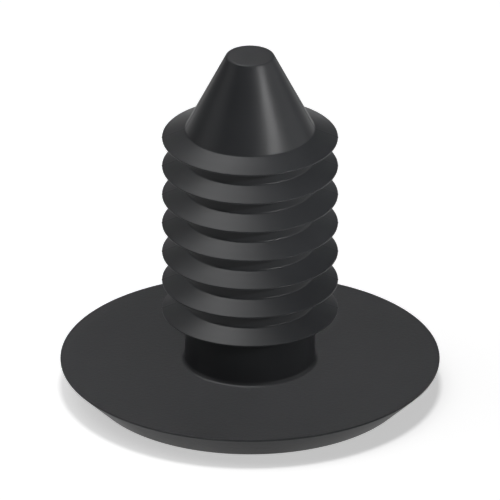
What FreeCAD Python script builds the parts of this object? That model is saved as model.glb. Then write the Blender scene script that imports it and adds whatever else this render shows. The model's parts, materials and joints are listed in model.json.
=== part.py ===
import FreeCAD, Part
import math
import os

import Sketcher

# Plastic push rivet of the fir-tree kind, moulded in one piece of nylon.
# It stands on the show face of its head, with the nose up. The origin is the centre of the show face.

NODE = "push_rivet"

# Driving dimensions in millimetres and degrees: name, value, what it measures.
DIMENSIONS = [
    ("head_diameter", 19.05, "over the rim of the head"),
    ("head_thickness", 1.55, "from the show face to the bearing face"),
    ("face_diameter", 15.95, "flat show face, inside the bevel"),
    ("rim_land", 0.08, "upright band left at the rim of the head"),
    ("stem_diameter", 6.52, "plain shank between the barbs"),
    ("grip_length", 2.70, "free shank from the bearing face to the lowest barb"),
    ("barb_count", 7, "barbs along the shank"),
    ("barb_pitch", 1.59, "from one barb to the next"),
    ("barb_diameter", 8.84, "over the edge of a barb"),
    ("barb_edge", 0.08, "upright band at the edge of a barb"),
    ("barb_slope", 22.0, "fall of a barb's upper side, in degrees"),
    ("barb_droop", 8.0, "fall of a barb's underside, in degrees"),
    ("nose_length", 4.07, "from the uppermost barb's root to the tip"),
    ("tip_diameter", 2.41, "flat at the end of the nose"),
    ("stem_root_radius", 0.20, "fillet where the shank meets the head"),
    ("barb_root_radius", 0.12, "fillet above each barb, where it meets the shank"),
    ("tip_edge_radius", 0.12, "rounding round the flat of the tip"),
    ("gate_dish_diameter", 2.60, "gate dish in the middle of the show face"),
    ("gate_dish_depth", 0.18, "depth of the gate dish"),
]

# Heights and radii that several features share, as expressions on the sheet.
SHEET = "Dimensions"
HEAD_RADIUS = f"{SHEET}.head_diameter / 2"
FACE_RADIUS = f"{SHEET}.face_diameter / 2"
STEM_RADIUS = f"{SHEET}.stem_diameter / 2"
BARB_RADIUS = f"{SHEET}.barb_diameter / 2"
TIP_RADIUS = f"{SHEET}.tip_diameter / 2"
BEARING_FACE = f"{SHEET}.head_thickness"
BARB_REACH = f"({BARB_RADIUS} - {STEM_RADIUS})"
BARB_EDGE_LOW = f"{BEARING_FACE} + {SHEET}.grip_length"
BARB_EDGE_HIGH = f"{BARB_EDGE_LOW} + {SHEET}.barb_edge"
BARB_ROOT_LOW = f"{BARB_EDGE_LOW} + {BARB_REACH} * tan({SHEET}.barb_droop * 1 deg)"
BARB_ROOT_HIGH = f"{BARB_EDGE_HIGH} + {BARB_REACH} * tan({SHEET}.barb_slope * 1 deg)"
NOSE_BASE = f"{BARB_ROOT_HIGH} + ({SHEET}.barb_count - 1) * {SHEET}.barb_pitch"
NOSE_TIP = f"{NOSE_BASE} + {SHEET}.nose_length"

MATCH = 1e-4  # how closely an edge has to lie on a stated radius or height, in millimetres

# A sketch's own numbers for the points of a line or arc, and for its two axes.
START, END, CENTRE = 1, 2, 3
X_AXIS, Y_AXIS = -1, -2
ORIGIN = (X_AXIS, START)


def make_sheet(doc):
    """The spreadsheet of driving dimensions: a label, the number under its alias, and a note."""
    sheet = doc.addObject("Spreadsheet::Sheet", SHEET)
    for row, (alias, number, note) in enumerate(DIMENSIONS, start=1):
        sheet.set(f"A{row}", alias.replace("_", " "))
        sheet.set(f"B{row}", str(number))
        sheet.setAlias(f"B{row}", alias)
        sheet.set(f"C{row}", note)
    doc.recompute()
    return sheet


def origin_feature(body, role):
    return next(f for f in body.Origin.OriginFeatures if f.Role == role)


def new_sketch(body, name, plane):
    sketch = body.newObject("Sketcher::SketchObject", name)
    sketch.AttachmentSupport = (origin_feature(body, plane), [""])
    sketch.MapMode = "FlatFace"
    return sketch


def bind_distance(sketch, kind, name, line, end, expression):
    """Dimension one end of a line from the origin, along the sketch's X or Y, with an expression."""
    size = float(sketch.evalExpression(expression))
    index = sketch.addConstraint(Sketcher.Constraint(kind, *ORIGIN, line, end, size))
    sketch.renameConstraint(index, name)
    sketch.setExpression(f"Constraints.{name}", expression)


def turned_profile(body, name, corners):
    """Closed outline on the XZ plane. Each corner is (radius, height), as expressions on the sheet."""
    sketch = new_sketch(body, name, "XZ_Plane")
    points = [
        FreeCAD.Vector(float(sketch.evalExpression(r)), float(sketch.evalExpression(z)), 0)
        for r, z in corners
    ]
    count = len(points)
    for i in range(count):
        sketch.addGeometry(Part.LineSegment(points[i], points[(i + 1) % count]))
    for i in range(count):
        sketch.addConstraint(Sketcher.Constraint("Coincident", i, END, (i + 1) % count, START))
    for i, (radius, height) in enumerate(corners):
        before_radius, before_height = corners[i - 1]
        before_line = (i - 1) % count
        if i and radius == before_radius:
            sketch.addConstraint(Sketcher.Constraint("Vertical", before_line))
        elif radius == "0":
            sketch.addConstraint(Sketcher.Constraint("PointOnObject", i, START, Y_AXIS))
        else:
            bind_distance(sketch, "DistanceX", f"radius_{i}", i, START, radius)
        if i and height == before_height:
            sketch.addConstraint(Sketcher.Constraint("Horizontal", before_line))
        elif height == "0":
            sketch.addConstraint(Sketcher.Constraint("PointOnObject", i, START, X_AXIS))
        else:
            bind_distance(sketch, "DistanceY", f"height_{i}", i, START, height)
    return sketch


def revolve(body, name, sketch):
    feature = body.newObject("PartDesign::Revolution", name)
    feature.Profile = sketch
    feature.ReferenceAxis = (sketch, ["V_Axis"])
    feature.Angle = 360
    return feature


def add_head(body):
    """Round head: flat bearing face on top, bevelled in to the smaller show face below."""
    corners = [
        ("0", "0"),
        (FACE_RADIUS, "0"),
        (HEAD_RADIUS, f"{BEARING_FACE} - {SHEET}.rim_land"),
        (HEAD_RADIUS, BEARING_FACE),
        ("0", BEARING_FACE),
    ]
    return revolve(body, "Head", turned_profile(body, "HeadProfile", corners))


def add_shank(body):
    """Plain round shank from inside the head up to the foot of the nose."""
    sketch = new_sketch(body, "ShankCircle", "XY_Plane")
    radius = float(sketch.evalExpression(STEM_RADIUS))
    sketch.addGeometry(Part.Circle(FreeCAD.Vector(0, 0, 0), FreeCAD.Vector(0, 0, 1), radius))
    sketch.addConstraint(Sketcher.Constraint("Coincident", 0, CENTRE, *ORIGIN))
    index = sketch.addConstraint(Sketcher.Constraint("Radius", 0, radius))
    sketch.setExpression(f"Constraints[{index}]", STEM_RADIUS)
    shank = body.newObject("PartDesign::Pad", "Shank")
    shank.Profile = sketch
    shank.setExpression("Length", NOSE_BASE)
    return shank


def add_nose(body):
    """Tapered lead-in with a small flat at its tip."""
    corners = [("0", NOSE_BASE), (STEM_RADIUS, NOSE_BASE), (TIP_RADIUS, NOSE_TIP), ("0", NOSE_TIP)]
    return revolve(body, "Nose", turned_profile(body, "NoseProfile", corners))


def add_barbs(body):
    """Thin drooping barbs, thick at the root and thin at the edge, in a row up the shank."""
    corners = [
        ("0", BARB_ROOT_LOW),
        (STEM_RADIUS, BARB_ROOT_LOW),
        (BARB_RADIUS, BARB_EDGE_LOW),
        (BARB_RADIUS, BARB_EDGE_HIGH),
        (STEM_RADIUS, BARB_ROOT_HIGH),
        ("0", BARB_ROOT_HIGH),
    ]
    sketch = turned_profile(body, "BarbProfile", corners)
    barb = revolve(body, "LowestBarb", sketch)
    row = body.newObject("PartDesign::LinearPattern", "Barbs")
    row.Originals = [barb]
    row.Direction = (sketch, ["V_Axis"])
    row.Mode = "Spacing"
    row.setExpression("Offset", f"{SHEET}.barb_pitch")
    row.setExpression("Occurrences", f"{SHEET}.barb_count")
    body.Tip = row
    return row


def add_gate_dish(body):
    """Shallow round dish in the middle of the show face, where the plastic entered the mould."""
    sketch = new_sketch(body, "GateDishProfile", "XZ_Plane")
    radius_size = f"{SHEET}.gate_dish_diameter / 2"
    depth_size = f"{SHEET}.gate_dish_depth"
    radius = float(sketch.evalExpression(radius_size))
    depth = float(sketch.evalExpression(depth_size))
    ball_radius = (radius**2 + depth**2) / (2 * depth)  # the dish is a shallow cap of this ball
    ball = Part.Circle(
        FreeCAD.Vector(0, depth - ball_radius, 0), FreeCAD.Vector(0, 0, 1), ball_radius
    )
    rim, middle, top = (FreeCAD.Vector(x, y, 0) for x, y in ((radius, 0), (0, 0), (0, depth)))
    edge_angle = math.atan2(ball_radius - depth, radius)
    cap = sketch.addGeometry(Part.ArcOfCircle(ball, edge_angle, math.pi / 2))
    depth_line = sketch.addGeometry(Part.LineSegment(top, middle))
    radius_line = sketch.addGeometry(Part.LineSegment(middle, rim))
    sketch.addConstraint(Sketcher.Constraint("Coincident", cap, END, depth_line, START))
    sketch.addConstraint(Sketcher.Constraint("Coincident", depth_line, END, radius_line, START))
    sketch.addConstraint(Sketcher.Constraint("Coincident", radius_line, END, cap, START))
    sketch.addConstraint(Sketcher.Constraint("Coincident", depth_line, END, *ORIGIN))
    sketch.addConstraint(Sketcher.Constraint("Vertical", depth_line))
    sketch.addConstraint(Sketcher.Constraint("Horizontal", radius_line))
    sketch.addConstraint(Sketcher.Constraint("PointOnObject", cap, CENTRE, Y_AXIS))
    bind_distance(sketch, "DistanceX", "dish_radius", radius_line, END, radius_size)
    bind_distance(sketch, "DistanceY", "dish_depth", depth_line, START, depth_size)
    dish = body.newObject("PartDesign::Groove", "GateDish")
    dish.Profile = sketch
    dish.ReferenceAxis = (sketch, ["V_Axis"])
    dish.Angle = 360
    return dish


def ring_edge(shape, radius, height):
    """Name of the circular edge of that radius round the axis, at that height."""
    for number, edge in enumerate(shape.Edges, start=1):
        if edge.Degenerated or not isinstance(edge.Curve, Part.Circle):
            continue
        ring = edge.Curve
        if abs(ring.Radius - radius) < MATCH and abs(ring.Center.z - height) < MATCH:
            return f"Edge{number}"
    raise RuntimeError(f"no ring edge of radius {radius} at height {height}")


def add_fillet(body, name, radius, heights, size):
    """Round the ring edges of one radius at some heights, all given as expressions on the sheet."""
    base = body.Tip
    ring_radius = float(base.evalExpression(radius))
    fillet = body.newObject("PartDesign::Fillet", name)
    ring_heights = [float(base.evalExpression(height)) for height in heights]
    fillet.Base = (base, [ring_edge(base.Shape, ring_radius, height) for height in ring_heights])
    fillet.setExpression("Radius", f"{SHEET}.{size}")
    return fillet


def build(doc):
    sheet = make_sheet(doc)
    body = doc.addObject("PartDesign::Body", "Rivet")
    body.Label = NODE
    add_head(body)
    add_shank(body)
    add_nose(body)
    add_barbs(body)
    doc.recompute()
    undished = body.Shape.Volume
    add_gate_dish(body)
    doc.recompute()
    if not body.Shape.Volume < undished:
        raise RuntimeError("the gate dish cuts nothing")
    barb_roots = [f"{BARB_ROOT_HIGH} + {n} * {SHEET}.barb_pitch" for n in range(sheet.barb_count)]
    fillets = [
        ("ShankRoot", STEM_RADIUS, [BEARING_FACE], "stem_root_radius"),
        ("BarbRoots", STEM_RADIUS, barb_roots, "barb_root_radius"),
        ("TipEdge", TIP_RADIUS, [NOSE_TIP], "tip_edge_radius"),
    ]
    for fillet in fillets:
        add_fillet(body, *fillet)
        doc.recompute()
    return body


def check(doc, body):
    """Stop before writing if a feature failed, a sketch is loose or the solid isn't sound."""
    failed = [o.Name for o in doc.Objects if {"Invalid", "Error"} & set(o.State)]
    if failed:
        raise RuntimeError(f"failed features: {failed}")
    sketches = [o for o in doc.Objects if o.isDerivedFrom("Sketcher::SketchObject")]
    loose = [sketch.Name for sketch in sketches if not sketch.FullyConstrained]
    if loose:
        raise RuntimeError(f"sketches that are not fully constrained: {loose}")
    shape = body.Shape
    if shape.isNull() or not shape.isValid() or len(shape.Solids) != 1:
        raise RuntimeError("the rivet is not one valid solid")


def main():
    doc = FreeCAD.newDocument("PushRivet")
    body = build(doc)
    check(doc, body)
    os.makedirs("parts", exist_ok=True)
    body.Shape.exportStep(f"parts/{body.Label}.step")
    box = body.Shape.BoundBox
    print(f"{body.Label}: {box.XLength:.3f} x {box.YLength:.3f} x {box.ZLength:.3f} mm,"
          f" {body.Shape.Volume:.2f} mm3, {len(body.Shape.Faces)} faces")


main()
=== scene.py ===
import json
import math

import bmesh
import bpy
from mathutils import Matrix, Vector


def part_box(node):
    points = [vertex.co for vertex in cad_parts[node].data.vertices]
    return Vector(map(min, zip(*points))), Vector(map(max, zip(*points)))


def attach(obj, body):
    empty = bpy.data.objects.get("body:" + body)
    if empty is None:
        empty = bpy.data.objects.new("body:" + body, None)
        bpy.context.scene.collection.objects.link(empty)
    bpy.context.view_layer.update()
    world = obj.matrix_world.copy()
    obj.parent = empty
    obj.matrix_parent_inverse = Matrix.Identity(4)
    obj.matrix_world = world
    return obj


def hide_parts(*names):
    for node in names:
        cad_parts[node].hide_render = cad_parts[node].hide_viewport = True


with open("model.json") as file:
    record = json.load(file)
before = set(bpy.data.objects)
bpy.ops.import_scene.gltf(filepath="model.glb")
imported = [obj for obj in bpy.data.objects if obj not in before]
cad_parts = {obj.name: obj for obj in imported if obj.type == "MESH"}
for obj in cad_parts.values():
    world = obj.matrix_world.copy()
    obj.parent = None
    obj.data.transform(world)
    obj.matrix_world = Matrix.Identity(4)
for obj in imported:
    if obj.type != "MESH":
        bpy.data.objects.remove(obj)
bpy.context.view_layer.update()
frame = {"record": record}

# Head
# A broad round disc that stays outside the panel, with its flat bearing face towards the barbs.
# Its rim is bevelled in to a smaller show face, and the plastic entered the mould through
# the shallow dish in the middle of that face, so a small broken gate stands in the dish.

MM = 0.001

mounts = {mount["name"]: mount for mount in frame["record"]["mounts"]}
rivet_low, rivet_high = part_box("push_rivet")

head_radius = (rivet_high.x - rivet_low.x) / 2
bearing_height = mounts["bearing_face"]["pos_m"][2]
show_face_radius = 7.975 * MM
rim_land = 0.08 * MM
rim_rounding = 0.035 * MM
show_face_rounding = 0.15 * MM
gate_radius = 0.30 * MM
gate_stub = 0.06 * MM
gate_foot_radius = gate_radius * 1.1
gate_rounding = 0.03 * MM
dish_radius = 1.30 * MM
dish_depth = 0.18 * MM
dish_bend_radius = dish_radius * 0.72
dish_bend_depth = dish_depth * 0.75
dish_bend_rounding = 0.60 * MM
dish_rounding = 0.10 * MM

outline = bmesh.new()
roundings = {}


def corner(radius, height, rounding=0.0):
    """Carry the outline of the moulding on to one more corner, rounded later by that radius."""
    outline.verts.ensure_lookup_table()
    before = outline.verts[-1] if outline.verts else None
    here = outline.verts.new((radius, 0, height))
    if before:
        outline.edges.new((before, here))
    if rounding:
        roundings[here] = rounding


corner(0, dish_depth - gate_stub)
corner(gate_radius, dish_depth - gate_stub, gate_rounding)
corner(gate_foot_radius, dish_depth, gate_rounding)
corner(dish_bend_radius, dish_bend_depth, dish_bend_rounding)
corner(dish_radius, 0, dish_rounding)
corner(show_face_radius, 0, show_face_rounding)
corner(head_radius, bearing_height - rim_land, rim_rounding)
corner(head_radius, bearing_height, rim_rounding)

# Shank and barbs
# A plain round shank carries a row of thin barbs that droop towards the head. They bend
# inwards as the rivet is pushed through its hole, and spring out to catch behind the panel.

barbed_shank = mounts["barbed_shank"]
barb_radius = barbed_shank["dims"]["r_mm"] * MM
barb_span = barbed_shank["dims"]["length_mm"] * MM
lowest_edge = barbed_shank["pos_m"][2] - barb_span / 2
shank_radius = 3.26 * MM
shank_root_rounding = 0.20 * MM
barb_count = 7
barb_edge = 0.08 * MM
barb_edge_rounding = 0.035 * MM
barb_root_rounding = 0.12 * MM
barb_pitch = (barb_span - barb_edge) / (barb_count - 1)
barb_reach = barb_radius - shank_radius
upper_slope = math.radians(22)
lower_slope = math.radians(8)
upper_fall = barb_reach * math.tan(upper_slope)
lower_fall = barb_reach * math.tan(lower_slope)

corner(shank_radius, bearing_height, shank_root_rounding)
for n in range(barb_count):
    edge = lowest_edge + n * barb_pitch
    corner(shank_radius, edge + lower_fall, barb_root_rounding)
    corner(barb_radius, edge, barb_edge_rounding)
    corner(barb_radius, edge + barb_edge, barb_edge_rounding)
    corner(shank_radius, edge + barb_edge + upper_fall, barb_root_rounding)

# Nose
# A plain solid taper above the last barb, which finds the hole as the rivet is pushed in. It is
# cut off flat, because a sharp point would not fill in the mould and would break in use.

tip_radius = 1.205 * MM
tip_rounding = 0.12 * MM

corner(tip_radius, rivet_high.z, tip_rounding)
corner(0, rivet_high.z)

# The moulding
# All of it is one shot of nylon from a turned mould, so the outline is turned about the axis.
# The mould opens in two halves along the shank, and leaves a fine raised seam up each side.

rounding_steps = 4
turning_steps = 256
merge_distance = 0.0001 * MM
seam_width = 0.10 * MM
seam_height = 0.02 * MM
seam_slack = 0.001 * MM


def round_corner(vert, radius):
    """Replace a corner of the outline by an arc of that radius, tangent to its two sides."""
    sides = [(edge.other_vert(vert).co - vert.co).normalized() for edge in vert.link_edges]
    turn = math.pi - sides[0].angle(sides[1])
    setback = radius * math.tan(turn / 2)
    bmesh.ops.bevel(
        outline, geom=[vert], offset=setback, offset_type="OFFSET", segments=rounding_steps,
        profile=0.5, affect="VERTICES", material=-1,
    )


for vert, radius in roundings.items():
    round_corner(vert, radius)

bmesh.ops.spin(
    outline, geom=outline.verts[:] + outline.edges[:], cent=(0, 0, 0), axis=(0, 0, 1),
    angle=math.tau, steps=turning_steps, use_merge=True, use_duplicate=False,
)
bmesh.ops.remove_doubles(outline, verts=outline.verts[:], dist=merge_distance)

# The faces between the shank's root and the tip are cut on both sides of the seam, and the line
# of vertices between the cuts is raised.
seam_start = bearing_height + shank_root_rounding
seam_raised_from = bearing_height + 2 * shank_root_rounding
split = [
    face for face in outline.faces
    if all(v.co.z > seam_start and v.co.xy.length > tip_radius for v in face.verts)
]
for side in (-1, 1):
    cut = bmesh.ops.bisect_plane(
        outline, geom=list({g for face in split for g in (face, *face.edges, *face.verts)}),
        dist=merge_distance, plane_co=(0, side * seam_width / 2, 0), plane_no=(0, 1, 0),
    )
    split = [g for g in cut["geom"] if isinstance(g, bmesh.types.BMFace)]
for vert in outline.verts:
    on_seam = abs(vert.co.y) < seam_slack and abs(vert.co.x) > tip_radius
    if on_seam and vert.co.z > seam_raised_from:
        vert.co.x += math.copysign(seam_height, vert.co.x)

# The cuts leave some faces with more than four sides, and these are split into triangles.
many_sided = [face for face in outline.faces if len(face.verts) > 4]
bmesh.ops.triangulate(outline, faces=many_sided, quad_method="BEAUTY", ngon_method="BEAUTY")
bmesh.ops.recalc_face_normals(outline, faces=outline.faces[:])
for face in outline.faces:
    face.smooth = True

moulding_mesh = bpy.data.meshes.new("push_rivet_moulding")
outline.to_mesh(moulding_mesh)
outline.free()
moulding = bpy.data.objects.new("push_rivet_moulding", moulding_mesh)
bpy.context.scene.collection.objects.link(moulding)
moulding.modifiers.new("flat faces stay flat", "WEIGHTED_NORMAL")

# Black nylon
# PA66, injection moulded: a charcoal black with a dull sheen. The part of the mould that forms the
# head was spark eroded, which leaves a fine pitted grain on the plastic. The part that forms the
# shank was turned, which leaves faint rings. The plastic's flow makes the black a little uneven.

dark_black = "#202123"
light_black = "#252628"
least_roughness = 0.37
most_roughness = 0.45
flow_size = 4 * MM
pit_size = 0.16 * MM  # three times the real pits, so that they show
pit_depth = 0.004 * MM
ring_spacing = 0.20 * MM  # four times the real feed of the tool, so that they show
ring_depth = 0.0006 * MM


def linear(hex_colour):
    """The linear colour of an sRGB hex value, with alpha 1."""
    channels = [int(hex_colour[i:i + 2], 16) / 255 for i in (1, 3, 5)]
    return [c / 12.92 if c <= 0.04045 else ((c + 0.055) / 1.055) ** 2.4 for c in channels] + [1.0]


def node(tree, kind, settings, inputs):
    """Add a node with its settings, and give each input a value or a link from another socket."""
    made = tree.nodes.new(kind)
    for name, value in settings.items():
        setattr(made, name, value)
    for key, value in inputs.items():
        if isinstance(value, bpy.types.NodeSocket):
            tree.links.new(value, made.inputs[key])
        else:
            made.inputs[key].default_value = value
    return made


def new_material(name):
    """A material with an empty node tree, and that tree."""
    material = bpy.data.materials.new(name)
    material.use_nodes = True
    material.node_tree.nodes.clear()
    return material, material.node_tree


nylon, tree = new_material("black_nylon_moulded")
place = node(tree, "ShaderNodeTexCoord", {}, {}).outputs["Object"]

flow = node(tree, "ShaderNodeTexNoise", {}, {"Vector": place, "Scale": 1 / flow_size, "Detail": 3.0})
black = node(tree, "ShaderNodeValToRGB", {}, {"Fac": flow.outputs["Fac"]})
black.color_ramp.elements[0].position = 0.35
black.color_ramp.elements[0].color = linear(dark_black)
black.color_ramp.elements[1].position = 0.65
black.color_ramp.elements[1].color = linear(light_black)
dullness = node(
    tree, "ShaderNodeMapRange", {},
    {
        "Value": flow.outputs["Fac"], "From Min": 0.3, "From Max": 0.7,
        "To Min": least_roughness, "To Max": most_roughness,
    },
)

pits = node(
    tree, "ShaderNodeTexVoronoi", {"feature": "SMOOTH_F1"},
    {"Vector": place, "Scale": 1 / pit_size, "Smoothness": 0.7},
)
# A wave repeats every tau / 20 of its scaled coordinate.
rings = node(
    tree, "ShaderNodeTexWave", {"wave_type": "BANDS", "bands_direction": "Z"},
    {"Vector": place, "Scale": math.tau / 20 / ring_spacing, "Distortion": 0.6, "Detail": 1.0},
)
height = node(tree, "ShaderNodeSeparateXYZ", {}, {"Vector": place}).outputs["Z"]
on_shank = node(
    tree, "ShaderNodeMapRange", {},
    {"Value": height, "From Min": bearing_height, "From Max": bearing_height + shank_root_rounding},
)
on_head = node(
    tree, "ShaderNodeMath", {"operation": "SUBTRACT"}, {0: 1.0, 1: on_shank.outputs["Result"]}
)
pitted = node(
    tree, "ShaderNodeBump", {},
    {"Strength": on_head.outputs[0], "Distance": pit_depth, "Height": pits.outputs["Distance"]},
)
ringed = node(
    tree, "ShaderNodeBump", {},
    {
        "Strength": on_shank.outputs["Result"], "Distance": ring_depth,
        "Height": rings.outputs["Fac"], "Normal": pitted.outputs["Normal"],
    },
)
shader = node(
    tree, "ShaderNodeBsdfPrincipled", {},
    {
        "Base Color": black.outputs["Color"], "Roughness": dullness.outputs["Result"],
        "IOR": 1.53, "Specular IOR Level": 0.2, "Normal": ringed.outputs["Normal"],
    },
)
node(tree, "ShaderNodeOutputMaterial", {}, {"Surface": shader.outputs["BSDF"]})
moulding_mesh.materials.append(nylon)

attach(moulding, "root")
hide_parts("push_rivet")

# Floor
# A plain table in matt white paint, which the rivet stands on by its show face. It glows a little
# towards the camera and in reflections, so that it is white there and still keeps the shadow.

table_half = 0.5
table_gap = 0.01 * MM
table_white = "#f2f2f2"
table_glow = 0.51

bpy.ops.mesh.primitive_plane_add(size=2 * table_half, location=(0, 0, -table_gap))
table = bpy.context.object
table.name = "white_table"
white, tree = new_material("white_paint_matt")
paint = node(tree, "ShaderNodeBsdfDiffuse", {}, {"Color": linear(table_white)})
ray = node(tree, "ShaderNodeLightPath", {}, {})
camera_or_gloss = node(
    tree, "ShaderNodeMath", {"operation": "ADD"},
    {0: ray.outputs["Is Camera Ray"], 1: ray.outputs["Is Glossy Ray"]},
)
seen = node(
    tree, "ShaderNodeMath", {"operation": "ADD", "use_clamp": True},
    {0: camera_or_gloss.outputs[0], 1: ray.outputs["Is Transmission Ray"]},
)
strength = node(
    tree, "ShaderNodeMath", {"operation": "MULTIPLY"}, {0: seen.outputs[0], 1: table_glow}
)
glow = node(tree, "ShaderNodeEmission", {}, {"Strength": strength.outputs[0]})
both = node(tree, "ShaderNodeAddShader", {}, {0: paint.outputs[0], 1: glow.outputs[0]})
node(tree, "ShaderNodeOutputMaterial", {}, {"Surface": both.outputs[0]})
table.data.materials.append(white)

# Studio light
# Two soft lamps light the table alone: one straight above makes the close shadow round the head,
# and a wide one on the left the faint shadow on the right. The others light the rivet alone. The
# two behind it cast no shadow, so that their sheen reaches each barb under the next.

lamp_distance = 0.30
lamp_aim = Vector((0, 0, 9 * MM))


def place_light(name, data, subject, target, azimuth, elevation):
    """Aim a light at a target, lighting one subject, its azimuth counted to the camera's right."""
    a, e = math.radians(azimuth), math.radians(elevation)
    towards = Vector((math.sin(a) * math.cos(e), -math.cos(a) * math.cos(e), math.sin(e)))
    light = bpy.data.objects.new(name, data)
    light.location = target + towards * lamp_distance
    light.rotation_euler = towards.to_track_quat("Z", "Y").to_euler()
    light.light_linking.receiver_collection = bpy.data.collections.new(name + "_lights")
    light.light_linking.receiver_collection.objects.link(subject)
    bpy.context.scene.collection.objects.link(light)


def lamp(name, subject, azimuth, elevation, size, power, shadow=True):
    """A round soft lamp. One without a shadow is not sampled by importance, which would bring
    some of its shadow back."""
    data = bpy.data.lights.new(name, "AREA")
    data.shape = "DISK"
    data.size = size
    data.energy = power
    data.use_shadow = shadow
    data.cycles.use_multiple_importance_sampling = shadow
    place_light(name, data, subject, lamp_aim, azimuth, elevation)


lamp("above", table, azimuth=0, elevation=90, size=0.075, power=0.32)
lamp("above_left", table, azimuth=-90, elevation=65, size=0.31, power=0.25)
lamp("behind_left", moulding, azimuth=-155, elevation=65, size=0.17, power=0.60, shadow=False)
lamp("behind", moulding, azimuth=-176, elevation=25, size=0.30, power=0.073, shadow=False)
lamp("left", moulding, azimuth=-84, elevation=20, size=0.20, power=0.12)
lamp("front", moulding, azimuth=-12, elevation=26, size=0.30, power=0.075)
lamp("front_right", moulding, azimuth=45, elevation=30, size=0.30, power=0.20)
lamp("right", moulding, azimuth=98, elevation=20, size=0.20, power=0.15)

# Beam on the nose
# A narrow beam makes the bright streak up the nose. It passes over the head, which would mirror
# a wide lamp of that strength in the view from behind.

nose_middle = Vector((0, 0, 16.6 * MM))
beam = bpy.data.lights.new("nose_beam", "SPOT")
beam.energy = 20.0
beam.spot_size = math.radians(2.0)
beam.spot_blend = 0.7
beam.shadow_soft_size = 0.012
place_light("nose_beam", beam, moulding, nose_middle, azimuth=48, elevation=27)

# Room
# The white room round the table gives a weak even light from every side. It is also what the
# nylon mirrors where no lamp stands.

room_light = 0.070

world = bpy.context.scene.world or bpy.data.worlds.new("studio")
bpy.context.scene.world = world
world.use_nodes = True
world.node_tree.nodes["Background"].inputs["Color"].default_value = linear("#ffffff")
world.node_tree.nodes["Background"].inputs["Strength"].default_value = room_light

# Camera
# The photograph's view: it looks down on the rivet from 26 degrees above level, with no
# perspective, and its frame is 25.1 mm wide.

camera_elevation = math.radians(26)
camera_distance = 0.20
frame_width = 25.10 * MM
frame_centre = Vector((0, 0, 7.544 * MM))
camera_data = bpy.data.cameras.new("camera")
camera_data.type = "ORTHO"
camera_data.ortho_scale = frame_width
camera = bpy.data.objects.new("camera", camera_data)
towards_camera = Vector((0, -math.cos(camera_elevation), math.sin(camera_elevation)))
camera.location = frame_centre + towards_camera * camera_distance
camera.rotation_euler = towards_camera.to_track_quat("Z", "Y").to_euler()
bpy.context.scene.collection.objects.link(camera)
bpy.context.scene.camera = camera
bpy.context.scene.view_settings.view_transform = "Standard"
